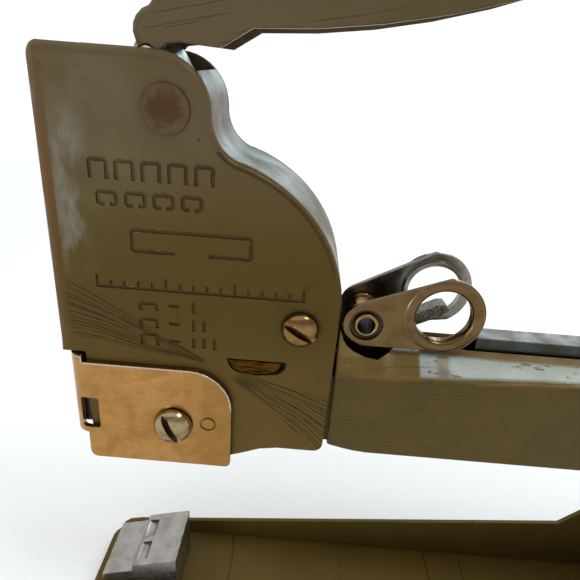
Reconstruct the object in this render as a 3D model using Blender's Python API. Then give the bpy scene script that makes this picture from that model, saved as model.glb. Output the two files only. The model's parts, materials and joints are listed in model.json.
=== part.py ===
"""Plier stapler with a box head, a magazine arm, a lower jaw and a lever handle.

Lengths below are in millimetres. X runs along the arm from the nose (-X) to the handles (+X),
Y runs across it with the plane of symmetry at zero, and Z is up. FLOOR is the height of the base
in these drawing coordinates; every piece is placed so that the base stands at zero.
"""
import math

import bmesh
import bpy
from mathutils import Vector

MM = 0.001
GAP = 0.3
SHEET = 1.3
FINE = 40
ROUND = 24
SMALL = 16

# head housing
HALF = 11.25
HEAD_FRONT = -51.5
HEAD_TOP = 124.0
HEAD_REAR = 10.5
HEAD_SKIRT = 38.0
HEAD_CHIN = 33.4
LIP_X = -44.9
LIP_Z = 60.8
LOBE = (-27.08, 113.70, 10.26)
NECK = (-7.90, 113.22, 8.87)
SHOULDER = (-20.33, 74.85, 31.62)
EDGE_R = 2.0
CORNER_R = 3.0
BEND_R = 4.5
COVER_IN = 10.05

# nose plate
NOSE_OUT = 12.75
NOSE_T = 1.2
NOSE_FRONT = -48.8
NOSE_REAR = -11.4
NOSE_TOP = 58.9
NOSE_LIP = 60.4
NOSE_NOTCH = 39.5
NOSE_BOTTOM = 32.3
NOSE_BEND = 4.0
NOSE_SCREW = (-24.9, 43.9)
NOSE_DIMPLE = (-16.8, 44.7)
SLOT_W = 1.5

# handle pivot, upper screw and cross key
PIVOT = (-25.1, 113.9)
PIVOT_R = 2.6
ARM_SCREW = (2.8, 71.1)
KEY_X = (-12.6, -0.7)
KEY_Z = (58.5, 61.9)

# arm
ARM_HALF = 10.9
ARM_T = 1.1
ARM_START = 12.9
ARM_END = 152.0
ARM_BOTTOM = 38.2
ARM_BEND = 59.4
BEND_RISE = 1.5
RIDGE = (3.75, 65.0)
LINER_HALF = 9.5
LINER_T = 1.2
LINER_FLOOR = 40.4

# magazine
CORE_HALF = 5.1
CORE_TOP = 53.0
CORE_BOTTOM = 47.5
CORE_FRONT = -44.6
CORE_END = 150.0
RAIL_START = 44.0
RAIL_TOP = 67.8
ROD_Z = 49.8
STAPLE_TOP = 54.3
EYELET = (17.6, 70.5)
BARREL_R = 3.4
EAR_IN = 2.4
EAR_OUT = 3.4
RING_Y = (4.85, 6.15)
RING_REACH = 17.2
RING_OUTER = 9.2
RING_HOLE = 6.25
NEAR_TILT = 11.3
FAR_TILT = 18.7
LATCH_PIN = (15.0, 58.5)

# driver
BLADE_X = (-46.0, -45.1)
BLADE_HALF = 6.2
BLADE_BOTTOM = 54.8
PLUNGER_TOP = 117.2
PLUNGER_FOOT = 72.0
PUSH_REACH = 22.4
PUSH_TIP_R = 2.5
HEEL = (2.4, 9.6)
HANDLE_TAIL = 216.0
LEVER_T = 1.7
LEVER_REST = 17.8
LEVER_STROKE = 35.6

# lower jaw
FLOOR = -23.0
JAW_HALF = 14.6
JAW_T = 1.4
WEB_T = 1.8
JAW_FRONT = -52.0
JAW_END = 212.0
HINGE = (140.0, 44.2)
HINGE_R = 2.3
CLOSE_DEG = 15.8
ANVIL_X = (-48.0, -26.5)
ANVIL_HALF = 9.0
ANVIL_MID = (-37.4, -10.5)
SPRING_X = 104.0
LEAF_T = 0.9


def clear_scene():
    """Remove whatever the empty scene starts with."""
    for obj in list(bpy.data.objects):
        bpy.data.objects.remove(obj, do_unlink=True)


def new_collection(name):
    """Make a collection under the scene."""
    group = bpy.data.collections.new(name)
    bpy.context.scene.collection.children.link(group)
    return group


clear_scene()
PARTS = new_collection("plier_stapler")
CUTTERS = new_collection("cutters")


def material(name, colour, metallic, roughness):
    """A plain Principled material."""
    mat = bpy.data.materials.new(name)
    mat.use_nodes = True
    shader = mat.node_tree.nodes["Principled BSDF"]
    shader.inputs["Base Color"].default_value = (*colour, 1.0)
    shader.inputs["Metallic"].default_value = metallic
    shader.inputs["Roughness"].default_value = roughness
    return mat


PAINT = ((0.115, 0.095, 0.060), 0.1, 0.42)
GOLD = ((0.72, 0.50, 0.20), 1.0, 0.30)
STEEL = ((0.45, 0.44, 0.42), 1.0, 0.35)
DARK = ((0.10, 0.095, 0.085), 0.9, 0.50)
NICKEL = ((0.55, 0.50, 0.45), 1.0, 0.18)
BRASS = ((0.62, 0.45, 0.20), 1.0, 0.30)
RUST = ((0.30, 0.13, 0.04), 0.6, 0.60)
WIRE = ((0.60, 0.60, 0.60), 1.0, 0.25)


def finish(name, bm, look, origin=(0.0, 0.0, 0.0)):
    """Turn a bmesh in millimetres into a named object whose origin is at a given point."""
    bmesh.ops.recalc_face_normals(bm, faces=bm.faces)
    shift = Vector(origin)
    for vert in bm.verts:
        vert.co = (vert.co - shift) * MM
    shift.z -= FLOOR
    mesh = bpy.data.meshes.new(name)
    bm.to_mesh(mesh)
    bm.free()
    obj = bpy.data.objects.new(name, mesh)
    obj.location = shift * MM
    if look is None:
        CUTTERS.objects.link(obj)
        obj.hide_render = True
        obj.display_type = "WIRE"
        return obj
    PARTS.objects.link(obj)
    mesh.materials.append(material(name, *look))
    for poly in mesh.polygons:
        poly.use_smooth = True
    return obj


def skin(name, rings, look, closed=False, origin=(0.0, 0.0, 0.0)):
    """Join rings of equal length; cap the ends, or join the last ring to the first."""
    bm = bmesh.new()
    loops = [[bm.verts.new(point) for point in ring] for ring in rings]
    count = len(loops[0])
    pairs = list(zip(loops[:-1], loops[1:]))
    if closed:
        pairs.append((loops[-1], loops[0]))
    for low, high in pairs:
        for i in range(count):
            j = (i + 1) % count
            bm.faces.new((low[i], low[j], high[j], high[i]))
    if not closed:
        bm.faces.new(list(reversed(loops[0])))
        bm.faces.new(loops[-1])
    return finish(name, bm, look, origin)


def place(axis, a, b, along):
    """A point from two plane coordinates and one coordinate along the axis."""
    if axis == "X":
        return (along, a, b)
    if axis == "Y":
        return (a, along, b)
    return (a, b, along)


def arc(centre, radius, start, end, count):
    """Points on an arc, angles in degrees."""
    points = []
    for i in range(count + 1):
        angle = math.radians(start + (end - start) * i / count)
        points.append((centre[0] + radius * math.cos(angle), centre[1] + radius * math.sin(angle)))
    return points


def circle(centre, radius, count=ROUND):
    """Points round a circle."""
    return arc(centre, radius, 0.0, 360.0 - 360.0 / count, count - 1)


def box_outline(x0, x1, z0, z1):
    """A rectangle."""
    return [(x0, z0), (x1, z0), (x1, z1), (x0, z1)]


def round_box(x0, x1, z0, z1, radius, count=4):
    """A rectangle with rounded corners."""
    return (
        arc((x1 - radius, z0 + radius), radius, -90.0, 0.0, count)
        + arc((x1 - radius, z1 - radius), radius, 0.0, 90.0, count)
        + arc((x0 + radius, z1 - radius), radius, 90.0, 180.0, count)
        + arc((x0 + radius, z0 + radius), radius, 180.0, 270.0, count)
    )


def inset(outline, depths):
    """Move each point of an outline inwards by its own depth."""
    area = sum(a[0] * b[1] - b[0] * a[1] for a, b in zip(outline, outline[1:] + outline[:1]))
    side = 1.0 if area > 0.0 else -1.0
    moved = []
    for i, point in enumerate(outline):
        before = outline[i - 1]
        after = outline[(i + 1) % len(outline)]
        first = Vector((point[0] - before[0], point[1] - before[1])).normalized()
        second = Vector((after[0] - point[0], after[1] - point[1])).normalized()
        normal = Vector((-first.y - second.y, first.x + second.x)).normalized() * side
        reach = max(0.5, normal.dot(Vector((-first.y, first.x)) * side))
        step = normal * (depths[i] / reach)
        moved.append((point[0] + step.x, point[1] + step.y))
    return moved


def prism(name, outline, axis, low, high, look, origin=(0.0, 0.0, 0.0)):
    """Extrude an outline along an axis."""
    rings = [[place(axis, a, b, along) for a, b in outline] for along in (low, high)]
    return skin(name, rings, look, origin=origin)


def soft_prism(name, outline, axis, low, high, radii, look, steps=4, both=False, origin=(0.0, 0.0, 0.0)):
    """Extrude an outline with its low edge (or both edges) rounded by a radius for each point."""
    rings = []
    for k in range(steps + 1):
        turn = math.radians(90.0 * k / steps)
        shape = inset(outline, [r * (1.0 - math.sin(turn)) for r in radii])
        lift = [r * (1.0 - math.cos(turn)) for r in radii]
        rings.append([place(axis, p[0], p[1], low + d) for p, d in zip(shape, lift)])
    if both:
        for k in range(steps, -1, -1):
            turn = math.radians(90.0 * k / steps)
            shape = inset(outline, [r * (1.0 - math.sin(turn)) for r in radii])
            lift = [r * (1.0 - math.cos(turn)) for r in radii]
            rings.append([place(axis, p[0], p[1], high - d) for p, d in zip(shape, lift)])
    else:
        rings.append([place(axis, p[0], p[1], high) for p in outline])
    return skin(name, rings, look, origin=origin)


def turned(name, profile, axis, centre, look, count=ROUND, hollow=False, origin=(0.0, 0.0, 0.0)):
    """Revolve (radius, height) points about an axis through a plane point."""
    rings = []
    for radius, along in profile:
        rings.append([place(axis, a, b, along) for a, b in circle(centre, radius, count)])
    return skin(name, rings, look, closed=hollow, origin=origin)


def tube(name, inner, outer, axis, centre, low, high, look, count=ROUND, origin=(0.0, 0.0, 0.0)):
    """A plain ring or bush."""
    profile = [(outer, low), (outer, high), (inner, high), (inner, low)]
    return turned(name, profile, axis, centre, look, count, hollow=True, origin=origin)


def coil(name, axis, centre, radius, wire, low, high, turns, look, steps=14, sides=6):
    """A round-wire compression spring."""
    rings = []
    total = int(turns * steps)
    pitch = (high - low - 2.0 * wire) / turns
    lean = math.atan2(pitch, 2.0 * math.pi * radius)
    for i in range(total + 1):
        turn = 2.0 * math.pi * i / steps
        along = low + wire + pitch * turn / (2.0 * math.pi)
        ring = []
        for j in range(sides):
            spot = 2.0 * math.pi * j / sides
            out = radius + wire * math.cos(spot)
            side = -wire * math.sin(spot) * math.sin(lean)
            up = wire * math.sin(spot) * math.cos(lean)
            a = centre[0] + out * math.cos(turn) - side * math.sin(turn)
            b = centre[1] + out * math.sin(turn) + side * math.cos(turn)
            ring.append(place(axis, a, b, along + up))
        rings.append(ring)
    return skin(name, rings, look)


def combine(target, other, operation="DIFFERENCE"):
    """Attach an exact boolean."""
    mod = target.modifiers.new(other.name, "BOOLEAN")
    mod.operation = operation
    mod.solver = "EXACT"
    mod.object = other
    return target


def cut_prism(target, tag, outline, axis, low, high):
    """Cut an extruded outline out of a piece."""
    return combine(target, prism("cut_" + tag, outline, axis, low, high, None))


def cut_round(target, tag, axis, centre, radius, low, high, count=ROUND):
    """Cut a round hole in a piece."""
    return cut_prism(target, tag, circle(centre, radius, count), axis, low, high)


def turn_point(point, centre, degrees):
    """Rotate a plane point about a centre, anticlockwise."""
    angle = math.radians(degrees)
    dx = point[0] - centre[0]
    dz = point[1] - centre[1]
    return (
        centre[0] + dx * math.cos(angle) - dz * math.sin(angle),
        centre[1] + dx * math.sin(angle) + dz * math.cos(angle),
    )


def head_outline():
    """The housing's side outline, anticlockwise from the front of the chin."""
    points = [(LIP_X, HEAD_CHIN), (-14.0, HEAD_CHIN + 0.3), (-9.0, 35.5), (-4.5, 37.3), (-0.3, HEAD_SKIRT)]
    points += arc((HEAD_REAR - 2.2, HEAD_SKIRT + 2.2), 2.2, -90.0, 0.0, 4)
    points += arc(SHOULDER[:2], SHOULDER[2], -8.0, 72.05, 18)
    points += arc(NECK[:2], NECK[2], 252.05, 178.6, 10)[1:]
    points += arc(LOBE[:2], LOBE[2], -1.4, 90.0, 10)[1:]
    points += arc((HEAD_FRONT + CORNER_R, HEAD_TOP - CORNER_R), CORNER_R, 90.0, 180.0, 6)
    points += [(HEAD_FRONT, LIP_Z + 1.6), (HEAD_FRONT + 1.6, LIP_Z), (LIP_X, LIP_Z)]
    return points


def head_radii(outline, scale=1.0):
    """Edge rounding for each outline point: wide at the front bend, medium over the top and back."""
    radii = []
    for x, z in outline:
        if x <= HEAD_FRONT + 0.01 or z > ARM_SCREW[1]:
            turn = min(1.0, max(0.0, (HEAD_FRONT + CORNER_R - x) / CORNER_R))
            radii.append((EDGE_R + (BEND_R - EDGE_R) * turn) * scale)
        else:
            radii.append(0.25)
    return radii


def key_outline(grow, tail):
    """Half-moon outline of the cross key, or of its slot with clearance all round and at the tail."""
    left = KEY_X[0] - grow
    right = KEY_X[1] + grow + tail
    top = KEY_Z[1] + grow
    low = KEY_Z[0] - grow
    points = [(left, top)] + arc((left + 3.2, low + 3.4), 2.9, 195.0, 250.0, 4)
    points += [(0.5 * (left + right), low)]
    points += arc((right - 3.0, low + 3.4), 2.9, 290.0, 345.0, 4) + [(right, top)]
    return points


def head():
    """Drawn housing shell, flat far cover and what holds them together."""
    outline = head_outline()
    shell = soft_prism("head_shell", outline, "Y", -HALF, COVER_IN - GAP, head_radii(outline), PAINT)
    inner = inset(outline, [SHEET] * len(outline))
    hollow = soft_prism("cut_hollow", inner, "Y", SHEET - HALF, HALF, head_radii(outline, 0.7), None)
    combine(shell, hollow)
    inside = SHEET - HALF
    cut_prism(shell, "chin", box_outline(-50.1, 9.1, 30.0, 70.0), "Y", inside, HALF)
    cut_prism(shell, "back", box_outline(5.0, 13.0, 30.0, 76.5), "Y", inside, HALF)
    cut_prism(shell, "top", box_outline(-49.0, -19.6, 118.0, 128.0), "Y", inside, HALF)
    cut_prism(shell, "lip", box_outline(-55.0, LIP_X, 30.0, LIP_Z), "Y", -HALF - 1.0, HALF)
    cover = soft_prism("head_cover", outline, "Y", COVER_IN, HALF, [0.35] * len(outline), PAINT, 2, both=True)
    for piece in (shell, cover):
        cut_round(piece, piece.name + "_pivot", "Y", PIVOT, PIVOT_R + 0.2, -20.0, 20.0)
        cut_round(piece, piece.name + "_nose", "Y", NOSE_SCREW, 2.1, -20.0, 20.0, SMALL)
        cut_round(piece, piece.name + "_arm", "Y", ARM_SCREW, 2.1, -20.0, 20.0, SMALL)
        cut_prism(piece, piece.name + "_key", key_outline(GAP, 0.9), "Y", -20.0, 20.0)


def nose_outline():
    """Side outline that trims the bent nose plate."""
    corner = (-21.2, NOSE_TOP - 9.8)
    edge = LIP_X - 0.4
    points = [(edge, NOSE_NOTCH), (edge, NOSE_BOTTOM + 1.8)]
    points += arc((edge + 1.8, NOSE_BOTTOM + 1.8), 1.8, 180.0, 270.0, 4)[1:]
    points += arc((NOSE_REAR - 1.2, NOSE_BOTTOM + 1.2), 1.2, -90.0, 0.0, 3)
    points += arc(corner, 9.8, 0.0, 90.0, 8)
    points += [(edge, NOSE_TOP), (edge, NOSE_LIP), (-60.0, NOSE_LIP), (-60.0, NOSE_NOTCH)]
    return points


def bent_plan(front, rear, half, radius):
    """Plan outline of a strip bent round the nose: square at the rear, round at the front."""
    points = [(rear, -half), (rear, half)]
    points += arc((front + radius, half - radius), radius, 90.0, 180.0, 6)
    points += arc((front + radius, radius - half), radius, 180.0, 270.0, 6)
    return points


def nose():
    """Plated nose plate bent round the front, with its windows and locating dimple."""
    plan = bent_plan(NOSE_FRONT, NOSE_REAR + 4.0, NOSE_OUT, NOSE_BEND)
    plate = prism("nose_plate", plan, "Z", NOSE_BOTTOM - 4.0, NOSE_LIP + 4.0, GOLD)
    inner = bent_plan(NOSE_FRONT + NOSE_T, NOSE_REAR + 9.0, NOSE_OUT - NOSE_T, NOSE_BEND - NOSE_T)
    cut_prism(plate, "nose_inside", inner, "Z", NOSE_BOTTOM - 9.0, NOSE_LIP + 9.0)
    combine(plate, prism("trim_nose", nose_outline(), "Y", -20.0, 20.0, None), "INTERSECT")
    for side in (-1.0, 1.0):
        low, high = sorted((side * 11.0, side * 20.0))
        cut_prism(plate, "window%+d" % side, round_box(-46.5, -42.3, 41.0, 49.4, 0.6, 2), "Y", low, high)
        cut_round(plate, "nose_hole%+d" % side, "Y", NOSE_SCREW, 2.1, low, high, SMALL)
        low, high = sorted((side * (NOSE_OUT - 0.3), side * 20.0))
        ring = tube("cut_dimple%+d" % side, 1.45, 1.95, "Y", NOSE_DIMPLE, low, high, None, SMALL)
        combine(plate, ring)


def slotted_screw(name, centre, seat, tip, head_r, shank_r, slot_deg, look):
    """Round-head screw along Y: seat is the face under the head, tip the far end of the shank."""
    out = -1.0 if seat < tip else 1.0
    rise = head_r * 0.62
    profile = [(shank_r, tip), (shank_r, seat)]
    for k in range(6):
        angle = math.radians(15.0 * k)
        profile.append((head_r * math.cos(angle), seat + out * (0.3 + rise * math.sin(angle))))
    profile.insert(2, (head_r, seat))
    screw = turned(name, profile, "Y", centre, look)
    side = 0.5 * SLOT_W
    half = [(-head_r - 1.0, -side), (head_r + 1.0, -side), (head_r + 1.0, side), (-head_r - 1.0, side)]
    slot = [turn_point((centre[0] + a, centre[1] + b), centre, slot_deg) for a, b in half]
    low, high = sorted((seat + out * (rise * 0.45), seat + out * (rise + 3.0)))
    return cut_prism(screw, name + "_slot", slot, "Y", low, high)


def fixings():
    """Screws, nut, tube, rivets and the half-moon key that hold the head together."""
    slotted_screw("nose_screw_near", NOSE_SCREW, -NOSE_OUT - GAP, -7.4, 4.5, 1.8, -62.0, BRASS)
    slotted_screw("nose_screw_far", NOSE_SCREW, NOSE_OUT + GAP, 7.4, 4.5, 1.8, 35.0, BRASS)
    slotted_screw("arm_screw", ARM_SCREW, -HALF - GAP, 15.6, 4.1, 1.8, -30.0, BRASS)
    nut = prism("arm_screw_nut", circle(ARM_SCREW, 4.2, 6), "Y", HALF + GAP, HALF + 3.1, STEEL)
    cut_round(nut, "nut_bore", "Y", ARM_SCREW, 2.0, 0.0, 20.0, SMALL)
    tube("screw_spacer", 2.1, 3.2, "Y", ARM_SCREW, -7.9, 7.9, STEEL, SMALL)
    profile = [(PIVOT_R, HALF + GAP), (4.6, HALF + GAP), (4.5, HALF + 0.5), (3.9, HALF + 0.8)]
    profile += [(3.2, HALF + 0.85), (2.4, HALF + 0.7), (1.2, HALF + 0.55)]
    near = [(r, -y) for r, y in reversed(profile)]
    turned("handle_pin", near + profile, "Y", PIVOT, PAINT)
    prism("cross_key", key_outline(0.0, 0.0), "Y", -HALF - 0.1, HALF + 0.1, RUST)
    for side, name in ((-1.0, "cover_rivet_near"), (1.0, "cover_rivet_far")):
        steps = [(1.3, 7.6), (1.3, ARM_HALF + GAP), (3.0, ARM_HALF + GAP), (2.6, ARM_HALF + 1.0), (1.4, ARM_HALF + 1.5)]
        turned(name, [(r, side * y) for r, y in steps], "Y", (122.0, 51.5), STEEL, SMALL)


def arm_section(x, half, bend, bottom, ridge_y, ridge_z):
    """One cross-section of the arm's sheet cover, slotted along the top."""
    outer = [(ridge_y, ridge_z), (half - 0.8, bend + 0.6), (half - 0.3, bend + 0.2), (half, bend - 0.5)]
    outer += [(half, bottom + 0.5), (half - 0.5, bottom)]
    t = ARM_T
    wall = ARM_HALF - t
    floor = min(bottom + t, LINER_FLOOR - GAP)
    inner = [(ridge_y - 0.35, ridge_z - t - 0.1), (wall - 0.3, bend - 0.4), (wall - 0.1, bend - 0.6)]
    inner += [(wall, bend - 0.9), (wall, floor + 0.2), (wall - 0.2, floor)]
    ring = [(x, -y, z) for y, z in outer]
    ring += [(x, y, z) for y, z in reversed(outer)]
    ring += [(x, y, z) for y, z in inner]
    ring += [(x, -y, z) for y, z in reversed(inner)]
    return ring


def arm():
    """Painted arm cover, its inner channel and the guide block in the nose."""
    low = ARM_BOTTOM
    bend = ARM_BEND
    lip = [(11.6, 10.3, bend, low + 1.4, 8.9, 70.7), (12.0, 10.55, bend, low + 1.35, 8.9, 69.6)]
    lip += [(12.6, 10.75, bend, low + 1.3, 8.9, 68.0), (13.6, ARM_HALF, bend, low + 1.2, 8.9, 66.5)]
    rise = [(15.2, 0.8, 8.8, 65.2), (18.0, 0.3, 8.5, 63.8), (21.0, 0.0, 7.8, 62.9), (23.5, 0.0, 5.6, 63.6)]
    body = [(x, ARM_HALF, bend, low + up, y, z) for x, up, y, z in rise]
    body += [(x, ARM_HALF, bend + up, low, *RIDGE) for x, up in ((25.5, 0.0), (40.0, 0.35), (66.0, BEND_RISE))]
    body += [(ARM_END, ARM_HALF, bend + BEND_RISE, low, *RIDGE)]
    cover = skin("arm_cover", [arm_section(*row) for row in lip + body], PAINT)
    half = LINER_HALF
    section = [(-half, LINER_FLOOR), (half, LINER_FLOOR), (half, 78.0), (half - LINER_T, 78.0)]
    section += [(half - LINER_T, LINER_FLOOR + LINER_T), (LINER_T - half, LINER_FLOOR + LINER_T)]
    section += [(LINER_T - half, 78.0), (-half, 78.0)]
    liner = prism("arm_liner", section, "X", -15.0, ARM_END - 2.0, DARK)
    keep = [(-16.0, 42.0), (-9.0, 38.0), (ARM_END, 38.0), (ARM_END, 57.4), (15.0, 57.4), (11.3, 58.0), (10.8, 60.0)]
    keep += arc((6.6, 71.0), 4.0, 0.0, 90.0, 4) + [(-8.0, 75.0), (-16.0, 66.0)]
    combine(liner, prism("trim_liner", keep, "Y", -20.0, 20.0, None), "INTERSECT")
    cut_round(liner, "liner_screw", "Y", ARM_SCREW, 2.1, -20.0, 20.0, SMALL)
    cut_prism(liner, "liner_key", box_outline(-13.0, -0.3, 57.6, 62.7), "Y", -20.0, 20.0)
    for piece in (cover, liner):
        cut_round(piece, piece.name + "_hinge", "Y", HINGE, HINGE_R + 0.3, -20.0, 20.0)
        cut_round(piece, piece.name + "_rivet", "Y", (122.0, 51.5), 1.6, -20.0, 20.0, SMALL)
    guide = prism("driver_guide", box_outline(-47.2, -20.0, 40.5, 57.4), "Y", -9.6, 9.6, STEEL)
    cut_prism(guide, "guide_slot", box_outline(-46.3, -44.8, 30.0, 70.0), "Y", -6.8, 6.8)
    cut_prism(guide, "guide_way", box_outline(-45.5, -10.0, 30.0, 55.2), "Y", -6.8, 6.8)
    cut_round(guide, "guide_screw", "Y", NOSE_SCREW, 2.0, -20.0, 20.0, SMALL)


def lever_point(dx, dz):
    """A point given relative to the pivot with the handle closed, moved to the open rest position."""
    return turn_point((PIVOT[0] + dx, PIVOT[1] + dz), PIVOT, LEVER_STROKE)


def handle():
    """Folded lever handle, the push arm between its cheeks and the rivet that joins them."""
    top = [(0.5, 9.5)] + arc((5.6, 11.8), 4.2, 150.0, 70.0, 4) + arc((118.0, 192.0), 205.0, 238.6, 270.0, 9)
    top += arc((HANDLE_TAIL - 7.0, -18.5), 5.5, 90.0, 0.0, 4)
    low = arc((HANDLE_TAIL - 5.5, -23.0), 4.0, 0.0, -90.0, 4) + arc((118.0, 147.0), 174.0, 270.0, 236.0, 9)
    low += [(14.0, 3.2), (8.2, 7.9), (6.2, 8.9), (4.4, 8.6)]
    outline = [lever_point(*p) for p in reversed(top)] + [lever_point(-2.5, 5.6)]
    outline += [turn_point(p, PIVOT, LEVER_STROKE) for p in arc(PIVOT, 6.2, 120.0, 410.0, 14)]
    outline += [lever_point(*p) for p in reversed(low)]
    origin = (PIVOT[0], 0.0, PIVOT[1])
    radii = [2.2] * (len(top)) + [0.3] * (len(outline) - len(top))
    lever = soft_prism("handle_lever", outline, "Y", -9.4, 9.4, radii, PAINT, 3, both=True, origin=origin)
    ceiling = [(9.6, 14.0)] + arc((118.0, 192.0), 205.0 + LEVER_T, 239.4, 270.0, 9)
    ceiling += [(HANDLE_TAIL - 7.5, -13.0 - LEVER_T), (HANDLE_TAIL - LEVER_T - 1.5, -18.0)]
    under = [(HANDLE_TAIL - LEVER_T, -60.0), (70.0, -60.0), (-20.0, -30.0), (-30.0, 0.0), (-10.0, 30.0), (0.0, 14.0)]
    inner = [lever_point(*p) for p in ceiling] + [lever_point(*p) for p in under]
    cut_prism(lever, "lever_inside", inner, "Y", -7.8, 7.8)
    cut_round(lever, "lever_bore", "Y", PIVOT, PIVOT_R + 0.3, -20.0, 20.0)
    cut_round(lever, "lever_rivet", "Y", lever_point(*HEEL), 1.5, -20.0, 20.0, SMALL)
    tip = turn_point((PIVOT[0] - PUSH_REACH, PIVOT[1]), PIVOT, -LEVER_REST)
    lean = math.degrees(math.atan2(tip[1] - PIVOT[1], tip[0] - PIVOT[0]))
    shape = arc(tip, PUSH_TIP_R, lean - 80.0, lean + 80.0, 8)
    heel = lever_point(*HEEL)
    rise = math.degrees(math.atan2(heel[1] - PIVOT[1], heel[0] - PIVOT[0]))
    arm_shape = shape[::-1] + arc(heel, 3.0, rise + 60.0, rise - 80.0, 8) + arc(PIVOT, 5.6, 0.0, -95.0, 8)
    push = prism("push_arm", arm_shape, "Y", -7.4, 7.4, STEEL, origin)
    cut_round(push, "push_bore", "Y", PIVOT, PIVOT_R + 0.3, -20.0, 20.0)
    cut_round(push, "push_rivet_hole", "Y", heel, 1.5, -20.0, 20.0, SMALL)
    turned("push_rivet", [(1.2, -9.6), (1.2, 9.6)], "Y", heel, STEEL, SMALL, origin=origin)


def driver():
    """Plunger, blade, blade rivet and the spring that lifts them."""
    shape = [(-49.4, 86.0), (-47.2, 84.0), (-47.2, PLUNGER_FOOT), (-42.0, PLUNGER_FOOT), (-42.0, 88.0)]
    shape += [(-31.0, 88.0), (-31.0, 93.0), (-43.0, 97.0), (-43.0, PLUNGER_TOP - 2.8)]
    shape += [(-46.2, PLUNGER_TOP), (-49.4, PLUNGER_TOP)]
    plunger = prism("plunger", shape, "Y", -7.0, 7.0, STEEL)
    cut_prism(plunger, "blade_pocket", box_outline(BLADE_X[0] - GAP, BLADE_X[1] + GAP, 60.0, 82.0), "Y", -6.6, 6.6)
    cut_round(plunger, "blade_rivet_hole", "X", (0.0, 76.0), 1.5, -60.0, -30.0, SMALL)
    x0, x1 = BLADE_X
    blade = prism("driver_blade", box_outline(x0, x1, BLADE_BOTTOM, 81.6), "Y", -BLADE_HALF, BLADE_HALF, WIRE)
    cut_round(blade, "blade_hole", "X", (0.0, 76.0), 1.5, -60.0, -30.0, SMALL)
    turned("blade_rivet", [(1.2, -46.9), (1.2, -42.2)], "X", (0.0, 76.0), STEEL, SMALL)
    coil("return_spring", "Z", (-36.4, 0.0), 3.4, 0.55, 57.7, 87.7, 7, WIRE)


def magazine():
    """Sliding core with its raised rail, ring bracket, spring rod and staples."""
    half = CORE_HALF
    section = [(-half, CORE_BOTTOM), (1.0 - half, CORE_BOTTOM), (1.0 - half, CORE_TOP - 1.0)]
    section += [(half - 1.0, CORE_TOP - 1.0), (half - 1.0, CORE_BOTTOM), (half, CORE_BOTTOM)]
    section += [(half, CORE_TOP), (-half, CORE_TOP)]
    prism("magazine_core", section, "X", CORE_FRONT, CORE_END, STEEL)
    wall = 0.9
    low = CORE_TOP + GAP
    rail = [(-3.0, low), (wall - 3.0, low), (wall - 3.0, RAIL_TOP - 1.2), (3.0 - wall, RAIL_TOP - 1.2)]
    rail += [(3.0 - wall, low), (3.0, low), (3.0, RAIL_TOP - 0.25), (2.75, RAIL_TOP), (-2.75, RAIL_TOP)]
    rail += [(-3.0, RAIL_TOP - 0.25)]
    prism("top_rail", rail, "X", RAIL_START, CORE_END, STEEL)
    ear = [(11.5, low), (21.4, low), (21.4, 60.0)] + arc(EYELET, BARREL_R, 0.0, 180.0, 10)
    ear += [(EYELET[0] - BARREL_R, 62.5), (11.5, 60.5)]
    bracket = prism("ring_bracket", ear, "Y", -EAR_OUT, EAR_OUT, BRASS)
    slot = box_outline(0.0, 40.0, low + 1.0, 90.0)
    cut_prism(bracket, "bracket_slot", slot, "Y", -EAR_IN, EAR_IN)
    cut_round(bracket, "bracket_bore", "Y", EYELET, 2.5, -20.0, 20.0)
    cut_round(bracket, "latch_bore", "Y", LATCH_PIN, 1.15, -20.0, 20.0, SMALL)
    turned("latch_pin", [(0.95, -EAR_OUT), (0.95, EAR_OUT)], "Y", LATCH_PIN, STEEL, 12)
    tube("spacer_barrel", 2.5, BARREL_R, "Y", EYELET, -EAR_IN + GAP, EAR_IN - GAP, BRASS)
    tube("collar_far", 2.5, BARREL_R, "Y", EYELET, EAR_OUT + 0.2, RING_Y[0] - 0.2, BRASS)
    tube("collar_near", 2.5, BARREL_R, "Y", EYELET, 0.2 - RING_Y[0], -EAR_OUT - 0.2, BRASS)
    rim = RING_Y[1]
    profile = [(1.85, -rim - 0.15), (2.3, -rim - 0.35), (2.75, -rim - 0.1), (2.85, 0.35 - rim), (2.2, 0.45 - rim)]
    profile += [(2.2, rim - 0.45), (2.85, rim - 0.35), (2.75, rim + 0.1), (2.3, rim + 0.35), (1.85, rim + 0.15)]
    turned("ring_eyelet", profile, "Y", EYELET, BRASS, hollow=True)
    turned("spring_rod", [(0.9, CORE_FRONT + 0.5), (0.9, 108.0)], "X", (0.0, ROD_Z), STEEL, 12)
    anchor = prism("rod_anchor", box_outline(-3.8, 3.8, 47.8, 51.7), "X", 103.0, 109.0, STEEL)
    cut_round(anchor, "anchor_bore", "X", (0.0, ROD_Z), 1.15, 90.0, 120.0, 12)
    crown = [(-6.3, 44.0), (-5.4, 44.0), (-5.4, CORE_TOP + GAP), (5.4, CORE_TOP + GAP), (5.4, 44.0)]
    crown += [(6.3, 44.0), (6.3, STAPLE_TOP - 0.4), (5.9, STAPLE_TOP), (-5.9, STAPLE_TOP), (-6.3, STAPLE_TOP - 0.4)]
    prism("staple_strip", crown, "X", -44.6, -20.0, WIRE)


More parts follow.
